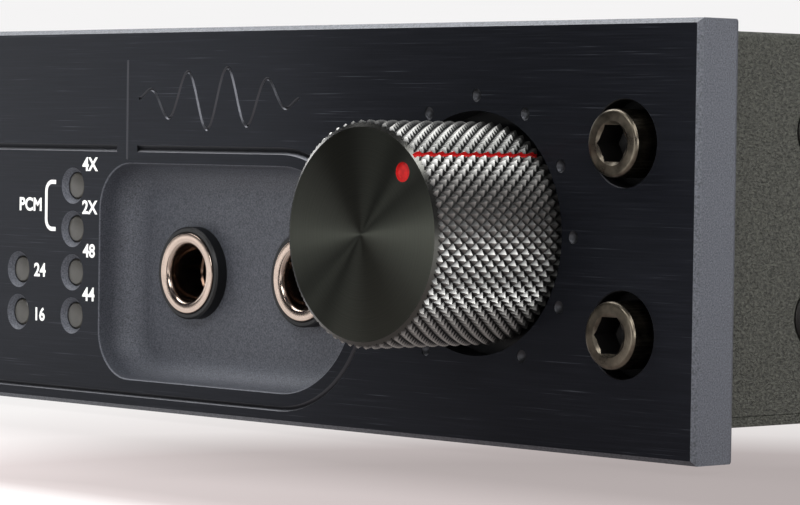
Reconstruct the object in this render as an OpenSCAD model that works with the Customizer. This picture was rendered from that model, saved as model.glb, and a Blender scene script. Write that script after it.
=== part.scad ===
// Half-rack desktop digital-to-analogue converter with a headphone amplifier.
// Working frame: the faceplate's front is at y = 0 and its mid-height at z = 0.
// place() then moves everything so that the origin is under the middle of the box.

/* [Faceplate] */
// Width of the faceplate
face_w = 241.3; // [238:0.1:250]
// Height of the faceplate, one rack unit
face_h = 43.8; // [43:0.1:44.5]
// Thickness of the faceplate
face_t = 6; // [5.8:0.1:6.5]
// Chamfer round the front edges
face_chamfer = 0.5; // [0.2:0.1:1]
// Depth of the two milled pockets
pocket_depth = 4.6; // [4:0.1:4.8]
// Radius of the fillet round a pocket's floor
pocket_fillet = 3.175; // [2:0.1:3.5]

/* [Case] */
// Width over the steel cover
case_w = 235.3; // [230:0.1:237]
// Length of the case behind the faceplate
case_len = 205.6; // [195:0.1:215]
// Top of the cover above the faceplate's middle
case_top = 20.9; // [20:0.1:21.5]
// Underside of the base below the faceplate's middle
case_bottom = 18.7; // [18:0.1:19.5]
// Thickness of the cover's sheet
cover_t = 1.2; // [0.8:0.1:1.6]
// Thickness of the base's sheet
base_t = 1.1; // [0.8:0.1:1.6]
// Height of the rubber feet
foot_h = 4.2; // [3.5:0.1:6]

/* [Volume knob] */
// Radius over the knurl
knob_r = 11.6; // [11:0.1:12]
// How far the knob stands out of the faceplate
knob_proud = 15.9; // [14:0.1:18]
// Where the pointer stands, clockwise from the top
pointer_angle = 44; // [-150:1:150]
// Sideways place of the knob
knob_x = 89.4; // [88:0.1:92]

/* [Sockets and buttons] */
// Height of the sockets' and buttons' centreline
row_z = -6; // [-7:0.1:-5]
// Bore of a headphone socket
jack_r = 3.2; // [3.2:0.01:3.25]
// Travel of a push button
button_travel = 0.8; // [0.3:0.1:0.9]
// Pitch between indicator rows
led_pitch = 5.08; // [5:0.01:5.2]

/* [Hidden] */
$fn = 64;

eps = 0.01;                         // overlap that keeps cuts clean
face_back = face_t;
case_back = face_t + case_len;      // outer face of the rear panel
rca_reach = 9.5;                    // how far the phono sockets stand out behind
depth_mid = (case_back + rca_reach - knob_proud) / 2;
floor_z = case_bottom + foot_h;

pocket_half = 12.4;                 // half the height of a pocket
pocket_corner = 5.5;                // radius of a pocket's square-end corners
pocket_wall = pocket_depth - pocket_fillet;
jack_x = [38.9, 58.75];
jack_pocket_end = 26.6;             // square end of the socket pocket
button_x = [-82, -64];
button_dz = 6;
button_pocket_end = -52;            // square end of the button pocket
groove_half = 14.15;
groove_wide = 0.8;                  // upper run of the engraved line
groove_fine = 0.55;                 // lower run of the engraved line
groove_gap = [29.7, 33.4];          // break in the upper run
screw_x = 110.6;
screw_z = 9.53;
screw_head_r = 3.43;
screw_head_proud = 1.8;
screw_head_h = 4.17;
screw_r = 2.08;
screw_hex = 3.57;                   // across the flats of the socket
screw_clear_r = 2.3;
counterbore_r = 4.37;
recess_r = 12.7;
recess_depth = 3;
dial_r = 14.3;
dial_hole = [0.66, 0.8];            // radius and depth of a dial mark
dial_step = 30;
dial_steps = 5;                     // dial marks on each side of the top one
led_top = 3.68;
led_columns = [[21.45, [0, 1, 2, 3]], [11.05, [2, 3]], [-8, [0, 1, 2, 3]], [-24, [0, 1, 2, 3]]];
pipe_r = 1.55;
pipe_hole_r = 1.6;
pipe_sink_r = 2.16;                 // countersink at the front of a pipe's hole
board_top = -14;
board_t = 1.6;
board_hole_r = 1.6;
front_board_y = 15.4;
knob_bevel = [0.75, 0.45];           // inwards and backwards
knob_wall_r = 8.5;                  // inside of the knob's skirt
knob_hub_r = 3;                     // bore for the shaft
knob_bore_y = 11;                   // end of the bore, in front of the faceplate
knob_web_y = 4;                     // end of the hollow behind
pointer_dot = [8.65, 1, 0.6];       // place, radius and depth
pointer_slot = [0.4, 0.8];          // width and depth
grub_y = -7.5;
grub_r = 1.5;
pot_hole_r = 3.6;
pot_thread_r = 3.5;
pot_shaft_r = 3.05;
pot_front = 10;
jack_hole_r = 4.75;
jack_thread_r = 4.65;
jack_nut_r = 5.3;
button_r = 3.5;
button_hole_r = 3.7;
button_flange_r = 4.6;
button_stem_r = 1.6;
switch_y = 12;                      // front of the push buttons' switches
foot_x = 98;
foot_y = [17, 190];
base_top = base_t - case_bottom;
inner_half = case_w / 2 - cover_t;
inner_top = case_top - cover_t;
panel_h = inner_top - base_top;
panel_z = (inner_top + base_top) / 2;
tab_len = 26;
side_screw_y = [21.5, 196];
side_screw_z = [11, -8];
standoff_at = [[-100, 30], [0, 40], [100, 40], [-100, 198], [4, 198], [104, 186]];
inlet_at = [90, 1];
inlet_socket_z = 7.5;
drawer_z = -9;
inlet_body = [27, 30.4, 1.3];       // width, height and centre of the body behind the flange
inlet_flange = [31, 35, 3];
inlet_socket = [24, 16.4, 15];
drawer_hole = [24, 9, 17];
drawer_size = [23.5, 8.5, 16];
xlr_at = [[20, 1], [50, 1]];
xlr_r = 9.45;
xlr_barrel_r = 11.9;
xlr_flange = [26, 31, 2.5];
xlr_screw = [9.5, 12];              // from the middle of the connector
xlr_depth = 13;
rca_at = [for (x = [-6, -22, -38], z = [9.5, -7.5]) [x, z]];
rca_r = 4.15;
rca_thread_r = 4.4;
rca_bore_r = 3.55;
rca_pin_r = 1.6;
optical_at = [[-58, 9], [-58, -7.5]];
optical_half = 4.2;
optical_flange = [14, 13, 1.5];
optical_body = [11, 10.6, 15];
optical_depth = 12;
shutter_dz = optical_half - 0.7;     // hinge above the optical socket's middle
shutter_r = 0.4;
shutter_y = case_back - 2.6;         // depth of the optical shutters' hinge
usb_at = [-80, 0];
usb_body = [12, 11, 15];
usb_mouth = [8.5, 7.8, 13];
trigger_at = [-102, 6];
trigger_r = 1.8;
trigger_barrel_r = 3;
transformer_at = [72, 140];

module place() translate([0, -depth_mid, floor_z]) children();

// A cylinder along Y between two depths
module rod(x, z, r, y0, y1, facets = 64)
    translate([x, y0, z]) rotate([-90, 0, 0]) cylinder(r = r, h = y1 - y0, $fn = facets);

// A box between two depths, centred on x and z
module block(x, z, w, h, y0, y1) translate([x - w / 2, y0, z - h / 2]) cube([w, y1 - y0, h]);

module tube(x, z, r_out, r_in, y0, y1) difference() {
    rod(x, z, r_out, y0, y1);
    rod(x, z, r_in, y0 - 1, y1 + 1);
}

// ---- faceplate -------------------------------------------------------------

// Section through half a pocket: flat floor, then a fillet up to the wall
module fillet_section(inner) {
    square([inner, pocket_fillet]);
    translate([inner, 0]) intersection() {
        circle(pocket_fillet);
        square(pocket_fillet);
    }
}

// A pocket with one half-round end at round_x and one square end at square_x
module pocket(round_x, square_x) {
    side = sign(round_x - square_x);
    length = abs(round_x - square_x);
    inner = pocket_half - pocket_fillet;
    corner = pocket_corner - pocket_fillet;
    run = length - pocket_corner;
    translate([round_x, 0, row_z]) rotate([-90, 0, 0]) mirror([side < 0 ? 1 : 0, 0, 0]) {
        translate([0, 0, -1]) linear_extrude(pocket_wall + 1) {
            circle(pocket_half);
            translate([-run, -pocket_half]) square([run, 2 * pocket_half]);
            for (v = [-1, 1]) translate([-run, v * (pocket_half - pocket_corner)]) circle(pocket_corner);
            translate([-length, pocket_corner - pocket_half])
                square([pocket_corner, 2 * (pocket_half - pocket_corner)]);
        }
        translate([0, 0, pocket_wall]) {
            rotate([0, 0, -90]) rotate_extrude(angle = 180) fillet_section(inner);
            translate([-run, 0, 0]) rotate([90, 0, 90]) linear_extrude(run) {
                fillet_section(inner);
                mirror([1, 0]) fillet_section(inner);
            }
            for (v = [0, 1]) translate([-run, (2 * v - 1) * (pocket_half - pocket_corner), 0])
                rotate([0, 0, 180 - 90 * v]) rotate_extrude(angle = 90) fillet_section(corner);
            translate([-run, pocket_half - pocket_corner, 0]) rotate([90, 0, 0])
                linear_extrude(2 * (pocket_half - pocket_corner)) mirror([1, 0]) fillet_section(corner);
        }
    }
}

// V cutter along X, with its point inwards
module vee_run(x0, x1, z, width)
    translate([x0, 0, z]) rotate([90, 0, 90]) linear_extrude(x1 - x0)
        polygon([[-0.1, -width / 2 - 0.1], [-0.1, width / 2 + 0.1], [width / 2, 0]]);

// V cutter round a quarter turn, starting from angle a anticlockwise
module vee_quarter(x, a, width)
    translate([x, 0, row_z]) rotate([90, 0, 0]) rotate([0, 0, a]) rotate_extrude(angle = 90)
        polygon([[groove_half - width / 2 - 0.1, 0.1], [groove_half + width / 2 + 0.1, 0.1],
                 [groove_half, -width / 2]]);

module engraved_line() {
    left = button_x[0];
    right = jack_x[1];
    vee_run(left, groove_gap[0], row_z + groove_half, groove_wide);
    vee_run(groove_gap[1], right, row_z + groove_half, groove_wide);
    vee_run(left, right, row_z - groove_half, groove_fine);
    vee_quarter(right, 0, groove_wide);
    vee_quarter(right, 270, groove_fine);
    vee_quarter(left, 90, groove_wide);
    vee_quarter(left, 180, groove_fine);
}

module dial_marks()
    for (i = [-dial_steps:dial_steps])
        translate([dial_r * sin(i * dial_step), 0, dial_r * cos(i * dial_step)])
            rod(knob_x, 0, dial_hole[0], -1, dial_hole[1], 24);

module at_leds()
    for (c = led_columns, row = c[1]) translate([c[0], 0, led_top - row * led_pitch]) children();

module faceplate() color([0.1, 0.11, 0.12]) difference() {
    block(0, 0, face_w, face_h, 0, face_t);
    for (v = [-1, 1]) {
        translate([0, 0, v * face_h / 2]) rotate([45, 0, 0])
            cube([face_w + 2, face_chamfer * sqrt(2), face_chamfer * sqrt(2)], center = true);
        translate([v * face_w / 2, 0, 0]) rotate([0, 0, 45])
            cube([face_chamfer * sqrt(2), face_chamfer * sqrt(2), face_h + 2], center = true);
        for (w = [-1, 1]) {
            rod(v * screw_x, w * screw_z, counterbore_r, -1, screw_head_h - screw_head_proud);
            rod(v * screw_x, w * screw_z, screw_clear_r, -1, face_t + 1);
        }
    }
    pocket(jack_x[1], jack_pocket_end);
    pocket(button_x[0], button_pocket_end);
    engraved_line();
    dial_marks();
    rod(knob_x, 0, recess_r, -1, recess_depth);
    rod(knob_x, 0, pot_hole_r, -1, face_t + 1);
    for (x = jack_x) rod(x, row_z, jack_hole_r, -1, face_t + 1);
    for (x = button_x, v = [-1, 1])
        rod(x, row_z + v * button_dz, button_hole_r, -1, face_t + 1);
    at_leds() {
        rotate([-90, 0, 0]) translate([0, 0, -eps]) cylinder(r1 = pipe_sink_r, r2 = 1.65, h = 0.6);
        rod(0, 0, pipe_hole_r, -1, face_t + 1, 32);
    }
}

module faceplate_screws() color([0.5, 0.46, 0.42])
    for (v = [-1, 1], w = [-1, 1]) translate([v * screw_x, 0, w * screw_z]) difference() {
        union() {
            rod(0, 0, screw_head_r, -screw_head_proud, screw_head_h - screw_head_proud);
            rod(0, 0, screw_r, screw_head_h - screw_head_proud - eps, 12);
        }
        rod(0, 0, screw_hex / sqrt(3), -screw_head_proud - 1, 1, 6);
    }

// ---- case ------------------------------------------------------------------

module base_tray() color([0.2, 0.2, 0.2]) difference() {
    union() {
        translate([-case_w / 2, face_back, -case_bottom]) cube([case_w, case_len, base_t]);
        for (v = [-1, 1], y = [face_back + cover_t, case_back - cover_t - tab_len])
            block(v * (inner_half - cover_t / 2), panel_z, cover_t, panel_h, y, y + tab_len);
    }
    for (v = [-1, 1], y = side_screw_y, z = side_screw_z)
        translate([v * inner_half, y, z]) rotate([0, 90, 0])
            cylinder(r = screw_clear_r, h = 6, center = true);
    for (p = standoff_at) translate([p[0], p[1], -case_bottom - 1]) cylinder(r = board_hole_r, h = 4);
}

module front_subpanel() color([0.2, 0.2, 0.2]) difference() {
    block(0, panel_z, 2 * inner_half, panel_h, face_back, face_back + cover_t);
    translate([-99, face_back - 1, -17]) cube([172, 3, 25.5]);
    rod(knob_x, 0, 13, face_back - 1, face_back + 3);
    for (v = [-1, 1], w = [-1, 1])
        rod(v * screw_x, w * screw_z, screw_clear_r, face_back - 1, face_back + 3);
}

module rear_panel() color([0.2, 0.2, 0.2]) difference() {
    block(0, panel_z, 2 * inner_half, panel_h, case_back - cover_t, case_back);
    block(inlet_at[0], inlet_at[1], 27.4, 31.6, case_back - 3, case_back + 1);
    for (p = xlr_at) rod(p[0], p[1], 12.1, case_back - 3, case_back + 1);
    for (p = rca_at) rod(p[0], p[1], 4.6, case_back - 3, case_back + 1);
    for (p = optical_at) block(p[0], p[1], 11.2, 10.8, case_back - 3, case_back + 1);
    block(usb_at[0], usb_at[1], 12.2, 11.2, case_back - 3, case_back + 1);
    rod(trigger_at[0], trigger_at[1], 3.1, case_back - 3, case_back + 1);
}

// Section of the cover across the case
module cover_section() {
    bend = 1.5;
    difference() {
        union() {
            translate([-case_w / 2, base_top]) square([case_w, case_top - base_top - bend]);
            translate([bend - case_w / 2, case_top - bend - eps]) square([case_w - 2 * bend, bend + eps]);
            for (v = [-1, 1]) translate([v * (case_w / 2 - bend), case_top - bend]) circle(bend);
        }
        translate([-inner_half, base_top - 1]) square([2 * inner_half, inner_top - base_top + 1]);
    }
}

module top_cover() color([0.24, 0.25, 0.22]) difference() {
    translate([0, case_back, 0]) rotate([90, 0, 0]) linear_extrude(case_len) cover_section();
    for (v = [-1, 1], y = side_screw_y, z = side_screw_z) translate([v * case_w / 2, y, z])
        rotate([0, -90 * v, 0]) translate([0, 0, -0.5]) {
            cylinder(r1 = 3.9, r2 = 1.75, h = 2.2);
            cylinder(r = 1.75, h = 4);
        }
}

module cover_screws() color([0.12, 0.12, 0.12])
    for (v = [-1, 1], y = side_screw_y, z = side_screw_z) translate([v * case_w / 2, y, z])
        rotate([0, -90 * v, 0]) difference() {
            union() {
                translate([0, 0, 0.1]) cylinder(r1 = 3.2, r2 = 1.5, h = 1.6);
                cylinder(r = 1.5, h = 7);
            }
            translate([0, 0, -1]) cylinder(r = 1.1, h = 1.9, $fn = 6);
        }

module press_nuts() color([0.6, 0.6, 0.6])
    for (v = [-1, 1], w = [-1, 1])
        tube(v * screw_x, w * screw_z, 3.6, screw_r, face_back + cover_t, face_back + 5.2);

module rubber_feet() color([0.06, 0.06, 0.06])
    for (v = [-1, 1], y = foot_y) translate([v * foot_x, y, -floor_z])
        difference() {
            cylinder(r1 = 7.2, r2 = 8, h = foot_h);
            translate([0, 0, -eps]) cylinder(r1 = 2.4, r2 = 2, h = 1.5);
        }

// ---- volume control --------------------------------------------------------

// Section of the knob: x outwards from its axis, y back from its face
module knob_section() {
    back = knob_proud + 1.5;
    bore_end = knob_proud - knob_bore_y;
    web = knob_proud - knob_web_y;
    polygon([[0, 0], [knob_r - knob_bevel[0], 0], [knob_r, knob_bevel[1]], [knob_r, back],
             [knob_wall_r, back], [knob_wall_r, web], [knob_hub_r, web],
             [knob_hub_r, bore_end + eps], [0, bore_end]]);
}

module at_pointer() rotate([0, pointer_angle, 0]) children();

module knob() color([0.07, 0.07, 0.07]) translate([knob_x, 0, 0]) difference() {
    translate([0, -knob_proud, 0]) rotate([-90, 0, 0]) rotate_extrude() knob_section();
    at_pointer() {
        rod(0, pointer_dot[0], pointer_dot[1], -knob_proud - 1, pointer_dot[2] - knob_proud, 32);
        block(0, knob_r, pointer_slot[0], 2 * pointer_slot[1], -knob_proud - 1, 2);
        translate([0, grub_y, -knob_r / 2]) cylinder(r = grub_r, h = knob_r + 4, center = true);
    }
}

module knob_grub_screw() color([0.2, 0.2, 0.2]) translate([knob_x, grub_y, 0]) at_pointer()
    translate([0, 0, -8]) difference() {
        cylinder(r = grub_r, h = 5);
        translate([0, 0, -1]) cylinder(r = 0.87, h = 2.5, $fn = 6);
    }

module volume_shaft() color([0.75, 0.75, 0.76]) rod(knob_x, 0, knob_hub_r, eps - knob_bore_y, 27);

module volume_pot_body() color([0.55, 0.56, 0.56]) difference() {
    union() {
        block(knob_x, 0, 25, 25, pot_front, pot_front + 2);
        rod(knob_x, 0, 12, pot_front + 2 - eps, 29);
        block(knob_x, -11, 18, 3, 13, 28);
    }
    rod(knob_x, 0, pot_shaft_r, 9, 27.5);
}

module volume_pot_bushing() color([0.72, 0.68, 0.5])
    tube(knob_x, 0, pot_thread_r, pot_shaft_r, 1, pot_front);

module volume_pot_nut() color([0.7, 0.7, 0.7]) difference() {
    rod(knob_x, 0, 5.5, 1.2, recess_depth, 6);
    rod(knob_x, 0, pot_thread_r, 0, 4);
}

// ---- headphone sockets -----------------------------------------------------

module jack_sleeve(x) color([0.8, 0.74, 0.68])
    tube(x, row_z, jack_thread_r, jack_r, pocket_depth - 1.65, 12);

module jack_nut(x) color([0.05, 0.05, 0.05])
    tube(x, row_z, jack_nut_r, jack_thread_r, pocket_depth - 1.5, pocket_depth);

module jack_body(x) color([0.06, 0.06, 0.06]) difference() {
    translate([x - 8, face_back + 1.4, board_top]) cube([16, 24.6, 16]);
    rod(x, row_z, jack_thread_r, 0, 12);
    rod(x, row_z, 3.4, 0, 40);
}

// ---- front panel electronics -----------------------------------------------

module light_pipes() color([0.42, 0.41, 0.38]) at_leds() rod(0, 0, pipe_r, 0.6, 11, 32);

module indicator_leds() color([0.85, 0.85, 0.8]) at_leds() rod(0, 0, 1.5, 11.2, front_board_y, 24);

module front_board() color([0.05, 0.25, 0.12])
    translate([-98, front_board_y, -13.5]) cube([127, 1.6, 25]);

module button(x, v) color([0.12, 0.12, 0.13]) {
    z = row_z + v * button_dz;
    rod(x, z, button_r, pocket_depth - 2.2, face_back + 0.2);
    rod(x, z, button_flange_r, face_back + 0.1, face_back + 1.1);
    rod(x, z, button_stem_r, face_back + 1, switch_y - button_travel - 0.2, 32);
}

module button_switches() color([0.3, 0.3, 0.3])
    for (x = button_x, v = [-1, 1]) block(x, row_z + v * button_dz, 6, 6, switch_y, front_board_y);

module ribbon_cable() color([0.6, 0.6, 0.62]) translate([-60, 0, 0]) rotate([90, 0, 90])
    linear_extrude(24) difference() {
        translate([front_board_y + 1.6, board_top]) square([12, 16]);
        translate([front_board_y + 1.5, board_top - 1]) square([11.1, 16]);
    }

// ---- main board ------------------------------------------------------------

module main_board() color([0.05, 0.28, 0.14]) difference() {
    translate([-112, 20, board_top - board_t]) cube([224, 188, board_t]);
    for (p = standoff_at) translate([p[0], p[1], board_top - 4]) cylinder(r = board_hole_r, h = 6);
    translate([76, 10, board_top - 4]) cube([30, 22, 6]);
}

module board_standoffs() color([0.75, 0.75, 0.75])
    for (p = standoff_at) translate([p[0], p[1], base_top]) difference() {
        cylinder(r = 2.8, h = board_top - board_t - base_top);
        translate([0, 0, -1]) cylinder(r = 1.5, h = 5);
    }

module board_screws() color([0.7, 0.7, 0.7])
    for (p = standoff_at) translate([p[0], p[1], board_top]) {
        cylinder(r = 2.8, h = 1.8);
        translate([0, 0, -3]) cylinder(r = 1.5, h = 3 + eps);
    }

module power_transformer() color([0.75, 0.6, 0.2])
    translate([transformer_at[0], transformer_at[1], board_top]) rotate_extrude() {
        translate([9, 3]) square([18, 18]);
        translate([12, 0]) square([12, 24]);
        for (x = [12, 24], y = [3, 21]) translate([x, y]) circle(3, $fn = 24);
    }

module transformer_bolt() color([0.7, 0.7, 0.72])
    translate([transformer_at[0], transformer_at[1], board_top]) {
        cylinder(r = 2, h = 28);
        translate([0, 0, 24]) cylinder(r = 14, h = 1);
        translate([0, 0, 25]) cylinder(r = 4, h = 3, $fn = 6);
    }

module filter_capacitors() color([0.1, 0.12, 0.3])
    for (x = [-100, -82, -64, -46]) translate([x, 158, board_top]) {
        cylinder(r = 8, h = 25);
        translate([0, 0, 25 - eps]) cylinder(r = 7.2, h = 1);
    }

module chip(x, y, w, l, h) translate([x - w / 2, y - l / 2, board_top]) cube([w, l, h]);

module converter_chip() color([0.08, 0.08, 0.08]) chip(6, 110, 11, 11, 1.6);

module receiver_chip() color([0.08, 0.08, 0.08]) chip(-60, 100, 14, 14, 1.6);

module op_amps() color([0.08, 0.08, 0.08])
    for (x = [-24, -8, 8, 24], y = [140, 156]) chip(x, y, 6, 5, 1.8);

module voltage_regulators() color([0.1, 0.1, 0.1])
    for (x = [-90, -74, -58]) translate([x - 5, 122, board_top]) cube([10, 4.5, 15]);

module heat_sink() color([0.2, 0.2, 0.2]) difference() {
    translate([-100, 126.5, board_top]) cube([54, 12, 24]);
    for (i = [0:7]) translate([-97 + i * 6.5, 129, board_top - 1]) cube([4, 12, 26]);
}

module output_relays() color([0.9, 0.9, 0.88]) for (x = [18, 38]) chip(x, 178, 10, 16, 11);

// ---- rear connectors -------------------------------------------------------

module mains_inlet() color([0.05, 0.05, 0.05]) difference() {
    union() {
        block(inlet_at[0], inlet_at[1], inlet_flange[0], inlet_flange[1], case_back,
              case_back + inlet_flange[2]);
        block(inlet_at[0], inlet_body[2], inlet_body[0], inlet_body[1], case_back - 20, case_back + 1);
    }
    block(inlet_at[0], inlet_socket_z, inlet_socket[0], inlet_socket[1], case_back - inlet_socket[2],
          case_back + 4);
    block(inlet_at[0], drawer_z, drawer_hole[0], drawer_hole[1], case_back - drawer_hole[2], case_back + 4);
}

module mains_pins() color([0.8, 0.78, 0.72])
    for (p = [[-7, -1], [7, -1], [0, 3]])
        block(inlet_at[0] + p[0], inlet_socket_z + p[1], 2, 4, case_back - inlet_socket[2],
              case_back + 0.5);

module fuse_drawer() color([0.08, 0.08, 0.08]) {
    block(inlet_at[0], drawer_z, drawer_size[0], drawer_size[1], case_back - drawer_size[2], case_back + 3);
    block(inlet_at[0], drawer_z, 12, 2, case_back + 3 - eps, case_back + 4.2);
}

module xlr_shell(p) color([0.1, 0.1, 0.1]) difference() {
    union() {
        block(p[0], p[1], xlr_flange[0], xlr_flange[1], case_back, case_back + xlr_flange[2]);
        rod(p[0], p[1], xlr_barrel_r, case_back - 16, case_back + 1);
    }
    rod(p[0], p[1], xlr_r, case_back - xlr_depth, case_back + 4);
    for (v = [-1, 1])
        rod(p[0] + v * xlr_screw[0], p[1] + v * xlr_screw[1], 1.6, case_back - 1, case_back + 4);
}

module xlr_pins() color([0.85, 0.75, 0.4])
    for (p = xlr_at, q = [[-3.9, 2], [3.9, 2], [0, -4.2]])
        rod(p[0] + q[0], p[1] + q[1], 1.2, case_back - xlr_depth, case_back + 0.5, 32);

module rca_shells() color([0.85, 0.7, 0.35])
    for (p = rca_at) difference() {
        union() {
            rod(p[0], p[1], rca_r, case_back, case_back + rca_reach);
            rod(p[0], p[1], rca_thread_r, case_back - 9, case_back + 2.2);
        }
        rod(p[0], p[1], rca_bore_r, case_back - 10, case_back + rca_reach + 1);
    }

module rca_insulators() color([0.9, 0.9, 0.9])
    for (p = rca_at) tube(p[0], p[1], rca_bore_r, rca_pin_r, case_back - 9, case_back + 8.6);

module rca_nuts() color([0.8, 0.66, 0.33])
    for (p = rca_at) difference() {
        rod(p[0], p[1], 6.6, case_back, case_back + 2.2, 6);
        rod(p[0], p[1], rca_thread_r, case_back - 1, case_back + 3);
    }

module optical_socket(p) color([0.07, 0.07, 0.07]) difference() {
    union() {
        block(p[0], p[1], optical_flange[0], optical_flange[1], case_back, case_back + optical_flange[2]);
        block(p[0], p[1], optical_body[0], optical_body[1], case_back - optical_body[2], case_back + 0.5);
    }
    block(p[0], p[1], 2 * optical_half, 2 * optical_half, case_back - optical_depth, case_back + 2);
    translate([p[0] - 5, shutter_y, p[1] + shutter_dz]) rotate([0, 90, 0])
        cylinder(r = shutter_r + 0.05, h = 10, $fn = 24);
}

module optical_shutter(p) color([0.12, 0.12, 0.12]) translate([p[0], shutter_y, p[1] + shutter_dz]) {
    rotate([0, 90, 0]) cylinder(r = shutter_r, h = 9.4, center = true, $fn = 24);
    translate([-4, -shutter_r, -7.4]) cube([8, 2 * shutter_r, 7.4]);
}

module usb_shell() color([0.75, 0.76, 0.77]) difference() {
    block(usb_at[0], usb_at[1], usb_body[0], usb_body[1], case_back - usb_body[2], case_back + 2);
    block(usb_at[0], usb_at[1], usb_mouth[0], usb_mouth[1], case_back - usb_mouth[2], case_back + 3);
}

module usb_tongue() color([0.9, 0.9, 0.9])
    block(usb_at[0], usb_at[1], 5.6, 3.2, case_back - usb_mouth[2], case_back + 1);

module connector_screws() color([0.15, 0.15, 0.15])
    for (p = xlr_at, v = [-1, 1]) translate([v * xlr_screw[0], 0, v * xlr_screw[1]]) {
        rod(p[0], p[1], 1.5, case_back, case_back + 3, 24);
        rod(p[0], p[1], 2.6, case_back + 2.5, case_back + 4, 32);
    }

module trigger_socket() color([0.07, 0.07, 0.07]) difference() {
    union() {
        block(trigger_at[0], trigger_at[1], 9, 9, case_back - 12, case_back - cover_t);
        rod(trigger_at[0], trigger_at[1], trigger_barrel_r, case_back - 2, case_back + 2.5);
    }
    rod(trigger_at[0], trigger_at[1], trigger_r, case_back - 10, case_back + 3);
}

module trigger_ring() color([0.8, 0.8, 0.8]) difference() {
    rod(trigger_at[0], trigger_at[1], 4.6, case_back, case_back + 1.8, 6);
    rod(trigger_at[0], trigger_at[1], trigger_barrel_r, case_back - 1, case_back + 3);
}

// ---- one node at a time ----------------------------------------------------

place() {
    faceplate();
    faceplate_screws();
    base_tray();
    front_subpanel();
    rear_panel();
    top_cover();
    cover_screws();
    press_nuts();
    rubber_feet();
    knob();
    knob_grub_screw();
    volume_shaft();
    volume_pot_body();
    volume_pot_bushing();
    volume_pot_nut();
    jack_sleeve(jack_x[0]);  // jack_left_sleeve
    jack_nut(jack_x[0]);  // jack_left_nut
    jack_body(jack_x[0]);  // jack_left_body
    jack_sleeve(jack_x[1]);  // jack_right_sleeve
    jack_nut(jack_x[1]);  // jack_right_nut
    jack_body(jack_x[1]);  // jack_right_body
    light_pipes();
    indicator_leds();
    front_board();
    button(button_x[0], 1);  // button_power
    button(button_x[0], -1);  // button_mute
    button(button_x[1], 1);  // button_up
    button(button_x[1], -1);  // button_down
    button_switches();
    main_board();
    board_standoffs();
    board_screws();
    power_transformer();
    transformer_bolt();
    filter_capacitors();
    converter_chip();
    receiver_chip();
    op_amps();
    voltage_regulators();
    heat_sink();
    output_relays();
    ribbon_cable();
    mains_inlet();
    mains_pins();
    fuse_drawer();
    xlr_shell(xlr_at[0]);  // xlr_left_shell
    xlr_shell(xlr_at[1]);  // xlr_right_shell
    xlr_pins();
    rca_shells();
    rca_insulators();
    rca_nuts();
    optical_socket(optical_at[0]);  // optical_left_socket
    optical_socket(optical_at[1]);  // optical_right_socket
    optical_shutter(optical_at[0]);  // optical_left_shutter
    optical_shutter(optical_at[1]);  // optical_right_shutter
    usb_shell();
    usb_tongue();
    connector_screws();
    trigger_socket();
    trigger_ring();
}
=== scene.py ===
# Half-width audio converter with a headphone amplifier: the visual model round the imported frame.
import math

import bmesh
import bpy
from mathutils import Matrix, Quaternion, Vector


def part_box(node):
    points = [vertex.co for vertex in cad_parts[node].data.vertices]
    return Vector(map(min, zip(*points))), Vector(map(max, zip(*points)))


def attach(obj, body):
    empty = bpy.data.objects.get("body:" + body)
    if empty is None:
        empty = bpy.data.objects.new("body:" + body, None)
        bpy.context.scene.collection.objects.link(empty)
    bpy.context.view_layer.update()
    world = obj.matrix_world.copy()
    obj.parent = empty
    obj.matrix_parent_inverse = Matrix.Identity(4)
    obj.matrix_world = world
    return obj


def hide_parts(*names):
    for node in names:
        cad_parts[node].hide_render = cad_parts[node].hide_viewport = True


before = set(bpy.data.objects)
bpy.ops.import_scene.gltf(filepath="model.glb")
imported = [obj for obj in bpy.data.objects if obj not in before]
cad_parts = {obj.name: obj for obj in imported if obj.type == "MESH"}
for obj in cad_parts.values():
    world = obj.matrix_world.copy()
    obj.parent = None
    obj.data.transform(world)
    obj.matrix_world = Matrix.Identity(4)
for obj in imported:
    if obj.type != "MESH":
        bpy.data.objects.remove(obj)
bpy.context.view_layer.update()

# ---- Camera -------------------------------------------------------------------------------
# A long lens near the right-hand end of the faceplate, just above its middle.
# It looks 47 degrees round from the front and slightly down.

MM = 0.001
plate_low, plate_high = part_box("faceplate")
plate_middle = (plate_low + plate_high) / 2


def at(x, y, z):
    """A point in millimetres: across from the faceplate's middle, behind its face, above its middle."""
    return Vector((plate_middle.x + x * MM, plate_low.y + y * MM, plate_middle.z + z * MM))


def millimetres(point):
    """The same three distances for a point in the frame."""
    return (point - Vector((plate_middle.x, plate_low.y, plate_middle.z))) / MM


azimuth = math.radians(47.24)
drop = math.radians(1.767)
roll = math.radians(0.804)
eye_from_right_end = 240.78
lens = bpy.data.cameras.new("camera")
lens.lens = 164.13
lens.sensor_width = 36
lens.clip_start = 0.01
lens.clip_end = 50
camera = bpy.data.objects.new("camera", lens)
bpy.context.scene.collection.objects.link(camera)
sight = Vector((-math.sin(azimuth) * math.cos(drop), math.cos(azimuth) * math.cos(drop), -math.sin(drop)))
camera.location = at(millimetres(plate_high).x + eye_from_right_end, -262.03, 9.56)
camera.rotation_mode = "QUATERNION"
camera.rotation_quaternion = sight.to_track_quat("-Z", "Y") @ Quaternion((0, 0, 1), roll)
bpy.context.scene.camera = camera


# ---- Studio -------------------------------------------------------------------------------
# A pale paper floor, with a painted shadow greying it beside the knob's end, and soft boxes
# over, beside and behind the object. Those in front of the faceplate are small and weak, so
# that black metal stays black.


def linear(code):
    """A hex colour as linear red, green, blue and alpha."""
    parts = [int(code[i : i + 2], 16) / 255 for i in (1, 3, 5)]
    return (*[c / 12.92 if c <= 0.04045 else ((c + 0.055) / 1.055) ** 2.4 for c in parts], 1.0)


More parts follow.
